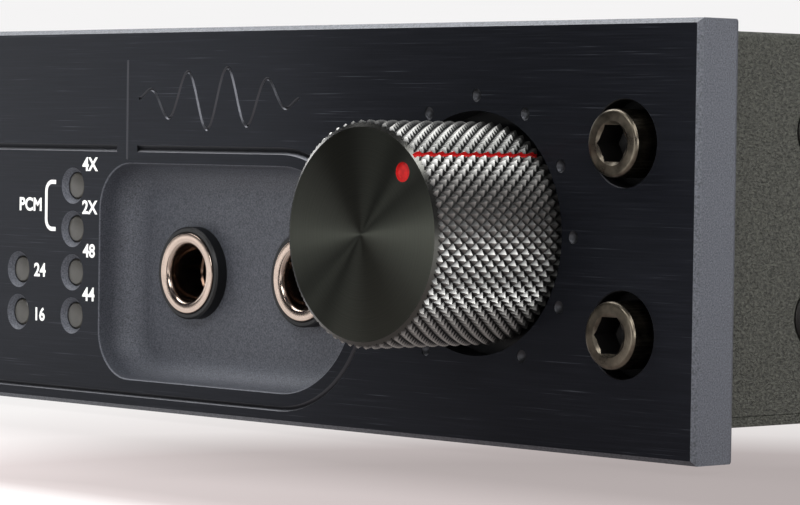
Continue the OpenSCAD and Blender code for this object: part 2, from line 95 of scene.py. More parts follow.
def put(tree, kind, inputs=None, stops=(), **settings):
    """Adds one node. inputs maps a socket's name or number to a value or to another socket, and
    stops are a colour ramp's (position, hex colour) pairs."""
    made = tree.nodes.new("ShaderNode" + kind)
    for name, value in settings.items():
        setattr(made, name, value)
    for name, value in (inputs or {}).items():
        if isinstance(value, bpy.types.NodeSocket):
            tree.links.new(value, made.inputs[name])
        else:
            made.inputs[name].default_value = value
    while stops and len(made.color_ramp.elements) < len(stops):
        made.color_ramp.elements.new(0.5)
    for i, (position, code) in enumerate(stops):
        made.color_ramp.elements[i].position = position
        made.color_ramp.elements[i].color = linear(code)
    return made


world = bpy.data.worlds.new("studio")
bpy.context.scene.world = world
world.use_nodes = True
sky = world.node_tree
sky.nodes.clear()
room = put(sky, "Background", {"Color": linear("#c9c6e0"), "Strength": 0.06})
backdrop = put(sky, "Background", {"Color": linear("#f5f4f4"), "Strength": 1.0})
seen = put(sky, "LightPath").outputs["Is Camera Ray"]
both = put(sky, "MixShader", {0: seen, 1: room.outputs[0], 2: backdrop.outputs[0]})
put(sky, "OutputWorld", {"Surface": both.outputs[0]})


def soft_box(name, place, aim, width, height, watts):
    """A rectangular light, in metres and watts, that the camera doesn't see."""
    data = bpy.data.lights.new(name, "AREA")
    data.shape = "RECTANGLE"
    data.size = width
    data.size_y = height
    data.energy = watts
    light = bpy.data.objects.new(name, data)
    bpy.context.scene.collection.objects.link(light)
    light.location = place
    light.rotation_mode = "QUATERNION"
    light.rotation_quaternion = (Vector(aim) - Vector(place)).to_track_quat("-Z", "Y")
    light.visible_camera = False


knob_end = (0.1, -0.1, 0.02)
pocket_end = (0.09, -0.1, 0.02)
soft_box("overhead", (-0.72, -0.2, 1.0), (-0.6, -0.1, 0), 1.25, 0.9, 24)
soft_box("right_high", (0.8, -0.1, 0.75), knob_end, 0.55, 0.5, 4)
soft_box("right_rear", (1.05, 0.6, 0.42), (0.1, -0.05, 0.02), 0.9, 0.8, 7.5)
soft_box("right_low", (1.0, -0.3, 0.12), knob_end, 0.6, 0.2, 3)
soft_box("left_rear", (-1.2, 0.35, 0.3), (0.05, -0.1, 0.02), 0.9, 0.5, 6)
soft_box("front_high", (-0.03, -1.0, 0.68), pocket_end, 0.25, 0.25, 2.5)
soft_box("front_right", (0.7, -0.8, 0.56), pocket_end, 0.5, 0.4, 5)
soft_box("left_card", (-1.1, -0.5, 0.16), pocket_end, 0.5, 0.3, 1)
soft_box("front_card", (-0.1, -1.2, 0.07), pocket_end, 0.5, 0.12, 1.2)


def new_object(name, bm, finishes, sharp=28):
    """Turns a bmesh into an object with smooth faces, and crisp edges past that angle."""
    mesh = bpy.data.meshes.new(name)
    bm.to_mesh(mesh)
    bm.free()
    mesh.shade_smooth()
    mesh.set_sharp_from_angle(angle=math.radians(sharp))
    for finish in finishes:
        mesh.materials.append(finish)
    made = bpy.data.objects.new(name, mesh)
    bpy.context.scene.collection.objects.link(made)
    return made


# The paper glows like a lit table where it isn't near the faceplate. A painted shadow greys it
# round a point beside the knob's end, and it takes real shadows only round a point in front of
# the pocket.
paper = bpy.data.materials.new("paper_sweep")
paper.use_nodes = True
tree = paper.node_tree
tree.nodes.clear()
place = put(tree, "TexCoord").outputs["Object"]
# The painted shadow: the paper's tone greys towards this point.
painted_shadow_point = (0.15, -0.14, 0)
shadow_point = (0.02, -0.2, 0)
point_reach = {"From Min": 0.06, "From Max": 0.2}
near = put(tree, "SeparateXYZ", {"Vector": place}).outputs["Y"]
away = put(tree, "VectorMath", {0: place, 1: painted_shadow_point}, operation="DISTANCE").outputs["Value"]
painted_shadow_fade = put(tree, "MapRange", {"Value": away, **point_reach})
front = put(tree, "MapRange", {"Value": near, "From Min": -0.155, "From Max": -0.2})
pale = put(tree, "Math", {0: painted_shadow_fade.outputs[0], 1: front.outputs[0]}, operation="MAXIMUM")
floor_and_painted_shadow_tones = ((0.0, "#b2a9a8"), (0.12, "#bcb3b2"), (0.3, "#e6e1e0"), (0.55, "#f6f3f2"), (1.0, "#fbfafa"))
tone = put(tree, "ValToRGB", {"Fac": pale.outputs[0]}, floor_and_painted_shadow_tones).outputs["Color"]
sheet = put(tree, "BsdfDiffuse", {"Color": tone})
shine = put(
    tree, "MapRange", {"Value": near, "From Min": -0.2, "From Max": -0.32, "To Min": 1.0, "To Max": 2.5}
)
glow = put(tree, "Emission", {"Color": tone, "Strength": shine.outputs[0]})
shaded = put(tree, "VectorMath", {0: place, 1: shadow_point}, operation="DISTANCE").outputs["Value"]
far = put(tree, "MapRange", {"Value": shaded, **point_reach, "To Min": 0.1})
behind = put(tree, "MapRange", {"Value": near, "From Min": -0.16, "From Max": -0.12, "To Max": 0.95})
lit = put(tree, "Math", {0: far.outputs[0], 1: behind.outputs[0]}, operation="MAXIMUM")
blend = put(tree, "MixShader", {0: lit.outputs[0], 1: sheet.outputs[0], 2: glow.outputs[0]})
put(tree, "OutputMaterial", {"Surface": blend.outputs[0]})

bm = bmesh.new()
bmesh.ops.create_circle(bm, cap_ends=True, segments=96, radius=6.0)
floor = new_object("floor", bm, [paper])

# A tall black card stands close in front of the knob and shows only in its reflections: the
# turned face then goes dark above and below, as black metal does in front of a dark room.
velvet = bpy.data.materials.new("black_velvet")
velvet.use_nodes = True
cloth = velvet.node_tree.nodes["Principled BSDF"]
cloth.inputs["Base Color"].default_value = linear("#0a0810")
cloth.inputs["Roughness"].default_value = 1.0
card_angle = math.radians(-47)
card_half, card_tall = 0.027, 0.3
card_middle = at(39, -58, 0)
card_middle.z = 0
across = Vector((math.cos(card_angle), math.sin(card_angle), 0))
bm = bmesh.new()
ends = [card_middle + across * side * card_half for side in (-1, 1)]
bottom = [bm.verts.new(end) for end in ends]
top = [bm.verts.new(end + Vector((0, 0, card_tall))) for end in reversed(ends)]
bm.faces.new(bottom + top)
card = new_object("black_card", bm, [velvet])
card.visible_camera = False
card.visible_diffuse = False
card.visible_shadow = False


# ---- Faceplate ----------------------------------------------------------------------------
# A bar of aluminium, brushed along its length, milled with two pockets, engraved and drilled,
# then anodised black. Brushing shows as fine lines; the milled places are bead-blasted.


def material(name, colour, roughness, metallic=0.0, **sockets):
    """A material's node tree and its main shader, with constant values set on the shader."""
    made = bpy.data.materials.new(name)
    made.use_nodes = True
    tree = made.node_tree
    shader = tree.nodes["Principled BSDF"]
    shader.inputs["Base Color"].default_value = linear(colour)
    shader.inputs["Roughness"].default_value = roughness
    shader.inputs["Metallic"].default_value = metallic
    for socket, value in sockets.items():
        shader.inputs[socket.replace("_", " ").title().replace("Ior", "IOR")].default_value = value
    return made, tree, shader


def grains(tree, size, stretch=(1, 1, 1), **inputs):
    """A noise on object coordinates, from 0 to 1, whose grains are that many millimetres wide."""
    scale = [1 / (size * MM * s) for s in stretch]
    source = put(tree, "TexCoord").outputs["Object"]
    placed = put(tree, "Mapping", {"Vector": source, "Scale": scale})
    return put(tree, "TexNoise", {"Vector": placed.outputs[0], "Scale": 1.0, **inputs}).outputs["Fac"]


def vary(tree, shader, source, *stops, roughness=None, relief=None):
    """Lets a value from 0 to 1 change a finish: its colour through stops, its roughness between
    two values, and its height by that many millimetres."""
    if stops:
        colour = put(tree, "ValToRGB", {"Fac": source}, stops)
        tree.links.new(colour.outputs["Color"], shader.inputs["Base Color"])
    if roughness:
        gloss = put(tree, "MapRange", {"Value": source, "To Min": roughness[0], "To Max": roughness[1]})
        tree.links.new(gloss.outputs["Result"], shader.inputs["Roughness"])
    if relief:
        raised = put(tree, "Bump", {"Height": source, "Strength": 1.0, "Distance": relief * MM})
        tree.links.new(raised.outputs[0], shader.inputs["Normal"])


# Anodised over brushing: dark and glossy along the lines, with the odd brighter hairline.
brushed, tree, shader = material(
    "brushed_black_anodised_aluminium", "#0c0e14", 0.34, 0.0, anisotropic=0.6, specular_ior_level=0.22
)
shader.inputs["Specular Tint"].default_value = linear("#bdcae4")
shader.inputs["Anisotropic Rotation"].default_value = 0.25
lines = grains(tree, 0.1, stretch=(300, 1, 1), Detail=4.0, Roughness=0.6)
hairs = grains(tree, 0.13, stretch=(60, 1, 1), Detail=1.0)
shade = put(tree, "Mix", {"Factor": 0.6, "A": lines, "B": hairs}).outputs[0]
vary(tree, shader, shade, (0.38, "#0a0b0e"), (0.56, "#0f1014"), (0.64, "#15161a"), (0.72, "#393b40"))
vary(tree, shader, lines, roughness=(0.28, 0.4), relief=0.004)

# Anodised over glass-bead blasting: an even, soft grey sheen with a fine grain.
blasted, tree, shader = material("blasted_black_anodised_aluminium", "#33363d", 0.52, 0.35)
peened = grains(tree, 0.16, Detail=3.0, Roughness=0.7)
vary(tree, shader, peened, (0.32, "#2e3036"), (0.68, "#5c5f67"), relief=0.05)

# The chamfer round the face has a lighter copy of the blasted finish: painted light, standing
# in for light from the front that no lamp gives.
chamfer_painted_light, tree, shader = material("chamfer_painted_light_anodised_aluminium", "#484b52", 0.5, 0.4)
vary(tree, shader, grains(tree, 0.2, Detail=3.0), (0.32, "#36383d"), (0.68, "#5a5d64"))

# The turned recess round the knob, left as the cutter leaves it.
turned_black, tree, shader = material("turned_black_anodised_aluminium", "#0b0c0e", 0.4, 0.3)
vary(tree, shader, grains(tree, 0.15, Detail=2.0), roughness=(0.3, 0.5))


def turned(bm, profile, centre, steps=64):
    """Spins (radius, depth) points, in millimetres, round an axis that runs front to back."""
    corners = [bm.verts.new(centre + Vector((r * MM, y * MM, 0))) for r, y in profile]
    edges = [bm.edges.new(pair) for pair in zip(corners, corners[1:])]
    bmesh.ops.spin(
        bm, geom=corners + edges, cent=centre, axis=(0, 1, 0), angle=math.tau, steps=steps, use_merge=True
    )
    bmesh.ops.remove_doubles(bm, verts=bm.verts, dist=0.0005 * MM)


def outward(bm):
    bmesh.ops.recalc_face_normals(bm, faces=bm.faces)


def finished_mesh(piece):
    """An object's mesh with its modifiers or its curve's thickness worked in."""
    return bpy.data.meshes.new_from_object(piece.evaluated_get(bpy.context.evaluated_depsgraph_get()))


def combine(piece, tool, operation="DIFFERENCE"):
    """Cuts with, joins or meets another object, which is used up. Its finishes stay on its faces."""
    step = piece.modifiers.new("cut", "BOOLEAN")
    step.operation = operation
    step.solver = "EXACT"
    step.material_mode = "TRANSFER"
    step.object = tool
    mesh = finished_mesh(piece)
    piece.modifiers.clear()
    piece.data = mesh
    mesh.shade_smooth()
    mesh.set_sharp_from_angle(angle=math.radians(28))
    bpy.data.objects.remove(tool)


def block(bm, low, high):
    """A box between two corners."""
    size = high - low
    place = Matrix.Translation((low + high) / 2) @ Matrix.Diagonal((*size, 1))
    return bmesh.ops.create_cube(bm, size=1, matrix=place)["verts"]


def ease(bm, edges, offset, segments):
    """Rounds edges to that many millimetres, or chamfers them with a single segment."""
    bmesh.ops.bevel(
        bm,
        geom=list(edges),
        offset=offset * MM,
        affect="EDGES",
        segments=segments,
        profile=0.5,
        material=-1,
    )


same_place = 0.01 * MM
edge_chamfer = 0.5
rear_round = 0.8
bm = bmesh.new()
block(bm, plate_low, plate_high)
front_edges = [e for e in bm.edges if all(abs(v.co.y - plate_low.y) < same_place for v in e.verts)]
ease(bm, front_edges, edge_chamfer, 1)
rear_edges = [e for e in bm.edges if all(abs(v.co.y - plate_high.y) < same_place for v in e.verts)]
ease(bm, rear_edges, rear_round, 4)
outward(bm)
for face in bm.faces:
    chamfered = -0.99 < face.normal.y < -0.5
    face.material_index = 0 if face.normal.y < -0.99 else 2 if chamfered else 1
faceplate = new_object("front_plate", bm, [brushed, blasted, chamfer_painted_light])

pocket_height = 24.8
pocket_depth = 4.6
pocket_fillet = 3.175
square_corner = 5.5
row_z = -6.0
jack_pocket = (58.75 + pocket_height / 2, 26.6)
button_pocket = (-82 - pocket_height / 2, -52)
bm = bmesh.new()
for round_end, square_end in (jack_pocket, button_pocket):
    low = at(min(round_end, square_end), -1, row_z - pocket_height / 2)
    high = at(max(round_end, square_end), pocket_depth, row_z + pocket_height / 2)
    verts = block(bm, low, high)
    edges = list({e for v in verts for e in v.link_edges})
    uprights = [e for e in edges if abs(e.verts[0].co.y - e.verts[1].co.y) > 1 * MM]
    round_x = at(round_end, 0, 0).x
    for end, radius, steps in ((True, pocket_height / 2 - 0.001, 24), (False, square_corner, 12)):
        chosen = [e for e in uprights if e.is_valid and (abs(e.verts[0].co.x - round_x) < same_place) == end]
        ease(bm, chosen, radius, steps)
bmesh.ops.remove_doubles(bm, verts=bm.verts, dist=0.004 * MM)
floor_y = at(0, pocket_depth, 0).y
rim = [e for e in bm.edges if all(abs(v.co.y - floor_y) < same_place for v in e.verts)]
ease(bm, rim, pocket_fillet, 14)
# A fine chamfer breaks the pockets' rims.
rim_chamfer = 0.12
bmesh.ops.bisect_plane(
    bm, geom=bm.verts[:] + bm.edges[:] + bm.faces[:], plane_co=at(0, rim_chamfer, 0), plane_no=(0, 1, 0)
)
for round_end, square_end in (jack_pocket, button_pocket):
    middle = at((round_end + square_end) / 2, 0, row_z)
    half = abs(round_end - square_end) / 2
    mouth = [v for v in bm.verts if v.co.y < plate_low.y and abs(v.co.x - middle.x) < (half + 1) * MM]
    flare = 1 + rim_chamfer
    stretch = ((half + flare) / half, 1, (pocket_height / 2 + flare) / (pocket_height / 2))
    bmesh.ops.scale(bm, vec=stretch, space=Matrix.Translation(-middle), verts=mouth)
outward(bm)
combine(faceplate, new_object("pockets", bm, [blasted]))

# A cutter leaves bright walls, which stay glossy under the anodising.
engraved, tree, shader = material("engraved_black_anodised_aluminium", "#46474b", 0.34, 1.0)
vary(tree, shader, grains(tree, 0.3, Detail=2.0), roughness=(0.3, 0.42))
# The counterbores' walls are darker and duller than the other black anodising: painted shade
# that keeps them black. Only their broken rims shine.
bore_painted_shade, tree, shader = material("bore_painted_shade_black_anodised_aluminium", "#040405", 0.6, specular_ior_level=0.1)
vary(tree, shader, grains(tree, 0.2, Detail=2.0), roughness=(0.5, 0.7))

# Every cutter starts this far in front of the face, and one that goes through ends behind it.
before, through = -1, 7
screw_places = [(x, z) for x in (-110.6, 110.6) for z in (-9.53, 9.53)]
bore_radius, bore_depth = 4.37, 2.38
clearance_radius = 2.3
bore_rim = 0.1
bm = bmesh.new()
for x, z in screw_places:
    mouth = [(0, before), (bore_radius + bore_rim - before, before), (bore_radius, bore_rim)]
    bore = [(bore_radius, bore_depth), (clearance_radius, bore_depth), (clearance_radius, through)]
    turned(bm, [*mouth, *bore, (0, through)], at(x, 0, z))
outward(bm)
for face in bm.faces:
    face.material_index = int(face.calc_center_median().y < plate_low.y)
combine(faceplate, new_object("counterbores", bm, [bore_painted_shade, engraved]))

knob_centre = (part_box("knob")[0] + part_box("knob")[1]) / 2
knob_x = millimetres(knob_centre).x
dial_radius = 14.3
dial_step = math.radians(30)
recess_radius, recess_depth = 12.7, 3
bush_hole = 3.6
bm = bmesh.new()
profile = [(0, before), (recess_radius, before), (recess_radius, recess_depth), (bush_hole, recess_depth)]
turned(bm, [*profile, (bush_hole, through), (0, through)], at(knob_x, 0, 0), steps=96)
outward(bm)
combine(faceplate, new_object("recess", bm, [turned_black]))
drilled, tree, shader = material("drilled_black_anodised_aluminium", "#3c3d40", 0.45, 1.0)
vary(tree, shader, grains(tree, 0.2, Detail=2.0), roughness=(0.36, 0.5))
dimple_radius, dimple_depth = 0.68, 0.6
bm = bmesh.new()
for i in range(-5, 6):
    mark = at(knob_x + dial_radius * math.sin(i * dial_step), 0, dial_radius * math.cos(i * dial_step))
    profile = [(0, before), (dimple_radius, before), (dimple_radius, 0.1), (0, dimple_depth)]
    turned(bm, profile, mark, steps=24)
outward(bm)
combine(faceplate, new_object("dial", bm, [drilled]))

led_top = 3.68
led_pitch = 5.08
led_columns = ((21.45, range(4)), (11.05, (2, 3)), (-8, range(4)), (-24, range(4)))
led_places = [(x, led_top - row * led_pitch) for x, rows in led_columns for row in rows]
led_hole = 1.62
bm = bmesh.new()
for x, z in led_places:
    flare = [(0, -0.2), (2.3, -0.2), (led_hole, 0.62)]
    turned(bm, [*flare, (led_hole, through), (0, through)], at(x, 0, z), steps=48)
outward(bm)
combine(faceplate, new_object("lamp_holes", bm, [blasted]))

button_names = ("power", "mute", "up", "down")
pocket_holes = [("jack_left_nut", 4.7), ("jack_right_nut", 4.7)]
pocket_holes += [("button_" + name, 3.7) for name in button_names]
inside_pocket = 3
bm = bmesh.new()
for node, radius in pocket_holes:
    place = millimetres((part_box(node)[0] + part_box(node)[1]) / 2)
    profile = [(0, inside_pocket), (radius, inside_pocket), (radius, through), (0, through)]
    turned(bm, profile, at(place.x, 0, place.z))
outward(bm)
combine(faceplate, new_object("pocket_holes", bm, [turned_black]))


def draw_out(bm, face, inner):
    """Extrudes a face and returns its copy. An inner face would be left inside, so it goes."""
    out = bmesh.ops.extrude_face_region(bm, geom=[face])["geom"]
    if inner:
        bmesh.ops.delete(bm, geom=[face], context="FACES_ONLY")
    return next(g for g in out if isinstance(g, bmesh.types.BMFace))


class Graver:
    """A pointed cutter drawn through the face: a closed ridge that grows from its last end."""

    def __init__(self, start, width):
        self.bm = bmesh.new()
        half = width / 2
        lift = 0.1
        corners = [(0, -lift, -half - lift), (0, -lift, half + lift), (0, half, 0)]
        verts = [self.bm.verts.new(start + Vector(c) * MM) for c in corners]
        self.end = self.bm.faces.new(verts)
        self.here = start.copy()

    def _grow(self):
        inner = len(self.bm.faces) > 1
        self.end = draw_out(self.bm, self.end, inner)

    def line(self, run):
        self._grow()
        bmesh.ops.translate(self.bm, vec=run * MM, verts=self.end.verts)
        self.here += run * MM

    def arc(self, centre, angle, steps):
        turn = Matrix.Rotation(angle / steps, 4, "Y")
        for _ in range(steps):
            self._grow()
            bmesh.ops.rotate(self.bm, cent=centre, matrix=turn, verts=self.end.verts)

    def turn(self, angle):
        spin = Matrix.Rotation(angle, 4, "Y")
        bmesh.ops.rotate(self.bm, cent=self.here, matrix=spin, verts=self.end.verts)


def engrave(graver, name):
    outward(graver.bm)
    combine(faceplate, new_object(name, graver.bm, [engraved]))


# The line round both pockets is cut with a pointed tool, wider and deeper along the top, where
# it stops short of the upright stroke, than along the bottom.
groove_radius = 14.15
groove_wide = 0.8
groove_fine = 0.55
gap_left, gap_right = 29.7, 33.4
right_turn = jack_pocket[0] - pocket_height / 2
left_turn = button_pocket[0] + pocket_height / 2
quarter = math.pi / 2
for name, start, side, width, turn_x, angle in (
    ("line_upper_right", gap_right, 1, groove_wide, right_turn, quarter),
    ("line_lower_right", left_turn, -1, groove_fine, right_turn, -quarter),
    ("line_upper_left", gap_left, 1, groove_wide, left_turn, -quarter),
    ("line_lower_left", left_turn, -1, groove_fine, left_turn, quarter),
):
    line = Graver(at(start, 0, row_z + side * groove_radius), width)
    if turn_x != start:
        line.line(Vector((turn_x - start, 0, 0)))
    line.arc(at(turn_x, 0, row_z), angle, 30)
    engrave(line, name)

# The ornament: an upright stroke, and a swelling and fading wave beside it.
stroke_width = 0.36
upright = Graver(at(31.55, 0, 6.9), stroke_width)
upright.turn(-quarter)
upright.line(Vector((0, 0, 11.4)))
engrave(upright, "ornament_stroke")
wave_start, wave_end, wave_mid = 33.6, 61.5, 13.9
wave_cycles = 4
wave_steps = 280
wave_height = 3.5


def wave(t):
    """The wave's place along and above its middle line, at a fraction t of its length."""
    swell = math.sin(math.pi * t) ** 0.8
    return Vector((
        wave_start + (wave_end - wave_start) * t,
        0,
        wave_mid + wave_height * swell * math.sin(math.tau * wave_cycles * t),
    ))


def wave_angle(t):
    step = wave(min(t + 0.001, 1)) - wave(max(t - 0.001, 0))
    return -math.atan2(step.z, step.x)


trace = Graver(at(*wave(0)), stroke_width)
trace.turn(wave_angle(0))
for i in range(wave_steps):
    trace.line(wave((i + 1) / wave_steps) - wave(i / wave_steps))
    trace.turn(wave_angle((i + 1) / wave_steps) - wave_angle(i / wave_steps))
engrave(trace, "ornament_wave")
# Flat places stay flat: only fillets, bores and engraved walls are shaded round.
for face in faceplate.data.polygons:
    face.use_smooth = max(abs(part) for part in face.normal) < 0.9999
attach(faceplate, "chassis")
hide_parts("faceplate")

# ---- Legends ------------------------------------------------------------------------------
# White epoxy ink, screen-printed on the face: numbers by the lamps and a bracket that
# joins two of them. It stands a hundredth of a millimetre proud.

ink, tree, shader = material("screen_printed_white_ink", "#f3f4f2", 0.5)
vary(tree, shader, grains(tree, 0.12, Detail=2.0), (0.3, "#e9eae8"), (0.6, "#fafaf8"))
letter_height = 1.62
letter_widening = 1.06
letters_bold = 0.032
ink_proud = 0.012
labels = [
    ("4X", 24.65, 6.15), ("2X", 24.65, 1.12), ("48", 24.65, -3.95), ("44", 24.65, -9.03),
    ("24", 15.25, -6.5), ("16", 15.2, -11.75), ("PCM", 13.3, 1.25),
]
for first, column_x in ((1, -8), (5, -24)):
    for row in range(4):
        labels.append((str(first + row), column_x + 3.2, led_top + 2.5 - row * led_pitch))


def drawn(curve):
    """The mesh of a text or a thick curve."""
    shown = bpy.data.objects.new(curve.name, curve)
    bpy.context.scene.collection.objects.link(shown)
    mesh = finished_mesh(shown)
    bpy.data.objects.remove(shown)
    return mesh


bm = bmesh.new()
for words, x, z in labels:
    curve = bpy.data.curves.new(words, "FONT")
    curve.body = words
    curve.align_x = "CENTER"
    curve.align_y = "CENTER"
    curve.offset = letters_bold
    curve.resolution_u = 6
    letters = drawn(curve)
    tall = max(v.co.y for v in letters.vertices) - min(v.co.y for v in letters.vertices)
    size = letter_height * MM / tall
    letters.transform(
        Matrix.Translation(at(x, -ink_proud, z))
        @ Matrix.Rotation(quarter, 4, "X")
        @ Matrix.Diagonal((size * letter_widening, size, size, 1))
    )
    bm.from_mesh(letters)
bracket_left, bracket_right = 16.35, 18.2
bracket_low, bracket_high = -1.5, 4.05
bracket_corner = 1.1
bracket = bpy.data.curves.new("bracket", "CURVE")
bracket.dimensions = "3D"
bracket.bevel_depth = 0.24 * MM
bracket.bevel_resolution = 4
bracket.use_fill_caps = True
path = bracket.splines.new("POLY")
upper = [
    (
        bracket_left + bracket_corner * (1 - math.cos(math.radians(a))),
        bracket_high - bracket_corner * (1 - math.sin(math.radians(a))),
    )
    for a in range(0, 91, 15)
]
lower = [(x, bracket_low + bracket_high - z) for x, z in reversed(upper)]
points = [(bracket_right, bracket_low), *lower, *upper, (bracket_right, bracket_high)]
path.points.add(len(points) - 1)
for point, (x, z) in zip(path.points, points):
    point.co = (*at(x, 0, z), 1)
mesh = drawn(bracket)
# Pressed flat towards the face, as a printed line is.
face_plane = Matrix.Translation((0, plate_low.y, 0))
mesh.transform(face_plane @ Matrix.Diagonal((1, 0.05, 1, 1)) @ face_plane.inverted())
bm.from_mesh(mesh)
legends = new_object("printed_legends", bm, [ink])
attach(legends, "chassis")

# ---- Lamps --------------------------------------------------------------------------------
# Smoked acrylic light pipes, moulded with a slightly domed end, pressed into the lamp holes.

smoked, tree, shader = material("smoked_acrylic", "#4b4841", 0.3, coat_weight=0.15, coat_roughness=0.2)
vary(tree, shader, grains(tree, 0.9, Detail=2.0), (0.3, "#2e2c27"), (0.7, "#35332d"))
pipe_radius, pipe_end = 1.55, 11
dome = [(0, 0.5), (0.9, 0.52), (1.35, 0.56), (1.5, 0.68), (pipe_radius, 0.85)]
bm = bmesh.new()
for x, z in led_places:
    turned(bm, [*dome, (pipe_radius, pipe_end), (0, pipe_end)], at(x, 0, z), steps=40)
outward(bm)
lamps = new_object("lamp_pipes", bm, [smoked])
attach(lamps, "chassis")
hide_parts("light_pipes")

# ---- Faceplate screws ---------------------------------------------------------------------
# Socket-head cap screws with a finely knurled head, in steel with a dark nickel plating
# that looks warm; their heads stand a little out of the counterbores.

plated, tree, shader = material("black_nickel_plated_steel", "#6b6057", 0.26, 1.0)
tarnish = grains(tree, 1.4, Detail=4.0)
vary(tree, shader, tarnish, (0.35, "#4a453d"), (0.65, "#6e675b"), roughness=(0.22, 0.38))
# The sockets' insides are near-black: painted shade for their depth.
socket_painted_shade, tree, shader = material("socket_painted_shade_steel", "#0d0b0a", 0.45, 0.6)
vary(tree, shader, grains(tree, 0.3, Detail=2.0), roughness=(0.35, 0.6))
head_radius, head_edge = 3.43, 0.42
head_front, head_back = -1.8, 2.37
shank_radius, shank_end = 2.08, 12
teeth, tooth_depth = 48, 0.13
rounding = [math.radians(a) for a in range(90, -1, -15)]
profile = [(0, head_front)]
for a in rounding:
    profile.append((head_radius - head_edge * (1 - math.cos(a)), head_front + head_edge * (1 - math.sin(a))))
profile += [(head_radius, head_back), (shank_radius, head_back), (shank_radius, shank_end), (0, shank_end)]
bm = bmesh.new()
for x, z in screw_places:
    turned(bm, profile, at(x, 0, z), steps=2 * teeth)
for x, z in screw_places:
    middle = at(x, 0, z)
    for vert in bm.verts:
        out = Vector((vert.co.x - middle.x, 0, vert.co.z - middle.z))
        if abs(out.length - head_radius * MM) < same_place:
            spoke = round(math.atan2(out.z, out.x) / math.tau * 2 * teeth)
            if spoke % 2:
                vert.co -= out.normalized() * tooth_depth * MM
outward(bm)
screws = new_object("plate_screws", bm, [plated])

# The hexagon socket has a countersunk mouth, straight flats and a pointed bottom.
across_flats = 3.65
socket_front = -2
mouth_wide, mouth_narrow = 2.22, 1.9
mouth_end = head_front + 0.2
bm = bmesh.new()
for x, z in screw_places:
    mouth = [(0, socket_front), (mouth_wide, socket_front), (mouth_wide, head_front)]
    turned(bm, [*mouth, (mouth_narrow, mouth_end), (0, mouth_end)], at(x, 0, z))
outward(bm)
combine(screws, new_object("socket_mouths", bm, [plated]))
hexagon_turn = Matrix.Rotation(quarter, 4, "X") @ Matrix.Rotation(math.radians(30), 4, "Z")
bm = bmesh.new()
for x, z in screw_places:
    ring = bmesh.ops.create_circle(
        bm,
        cap_ends=True,
        segments=6,
        radius=across_flats / math.sqrt(3) * MM,
        matrix=Matrix.Translation(at(x, socket_front, z)) @ hexagon_turn,
    )
    face = ring["verts"][0].link_faces[0]
    for run, shrink in ((3.4, 1.0), (0.7, 0.05)):
        face = draw_out(bm, face, shrink < 1)
        bmesh.ops.translate(bm, vec=(0, run * MM, 0), verts=face.verts)
        middle = Matrix.Translation(-face.calc_center_median())
        bmesh.ops.scale(bm, vec=(shrink, 1, shrink), space=middle, verts=face.verts)
outward(bm)
combine(screws, new_object("hexagons", bm, [socket_painted_shade]))
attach(screws, "chassis")
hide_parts("faceplate_screws")

# ---- Volume knob --------------------------------------------------------------------------
# Turned from aluminium bar, diamond-knurled round its rim, bevelled, spun flat on its face and
# anodised black; a dimple and a line along the rim are filled with red paint.

low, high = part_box("knob")
knob_radius = (high.x - low.x) / 2 / MM
knob_front = millimetres(low).y
knob_back = millimetres(high).y
axis = at(knob_x, 0, 0)


def across_axis(tree, centre):
    """The arrow to each point from an axis, front to back, through the centre, and its length."""
    source = put(tree, "TexCoord").outputs["Object"]
    centred = put(tree, "VectorMath", {0: source, 1: centre}, operation="SUBTRACT").outputs[0]
    arrow = put(tree, "VectorMath", {0: centred, 1: (1, 0, 1)}, operation="MULTIPLY").outputs[0]
    return arrow, put(tree, "VectorMath", {0: arrow}, operation="LENGTH").outputs["Value"]


def faced(name, centre):
    """A face turned on a lathe: rings about an axis, front to back, through the centre. Its
    grooves pull the light into a radial fan."""
    made, tree, shader = material(name, "#44463f", 0.3, 1.0, anisotropic=0.95)
    shader.inputs["Anisotropic Rotation"].default_value = 0.25
    arrow, radius = across_axis(tree, centre)
    along = put(tree, "VectorMath", {0: (0, 1, 0), 1: arrow}, operation="CROSS_PRODUCT").outputs[0]
    unit = put(tree, "VectorMath", {0: along}, operation="NORMALIZE").outputs[0]
    turned_with = put(tree, "VectorTransform", {0: unit}, vector_type="VECTOR", convert_from="OBJECT")
    tree.links.new(turned_with.outputs[0], shader.inputs["Tangent"])
    groove = 1 / (0.12 * MM)
    rings = put(tree, "TexNoise", {"W": radius, "Scale": groove, "Detail": 3.0}, noise_dimensions="1D")
    vary(tree, shader, rings.outputs["Fac"], (0.3, "#454741"), (0.7, "#4d4f48"), roughness=(0.27, 0.33))
    return made


spun = faced("spun_black_anodised_aluminium", axis)
diamond_cut, tree, shader = material("diamond_cut_black_anodised_aluminium", "#4a4a47", 0.22, 1.0)
vary(tree, shader, grains(tree, 0.3, Detail=3.0), roughness=(0.17, 0.27))

# The knurl's colour goes by height: darker down towards the valleys, painted shade, and lighter
# towards the diamonds' tips, where the anodising is also thinner.
knurled, tree, shader = material("knurled_black_anodised_aluminium", "#3a3a3b", 0.36, 1.0)
knurl_depth = 0.44
valley = (knob_radius - knurl_depth) * MM
radius = across_axis(tree, axis)[1]
height = put(tree, "MapRange", {"Value": radius, "From Min": valley, "From Max": knob_radius * MM})
knurl_wear_and_painted_shade = ((0.0, "#424242"), (0.5, "#8a8a88"), (0.9, "#b2b2ae"), (1.0, "#cfcfcb"))
vary(tree, shader, height.outputs[0], *knurl_wear_and_painted_shade)
red, tree, shader = material("red_paint_fill", "#b01216", 0.6, specular_ior_level=0.3)
vary(tree, shader, grains(tree, 0.5, Detail=2.0), (0.3, "#9c1013"), (0.7, "#c4201f"))

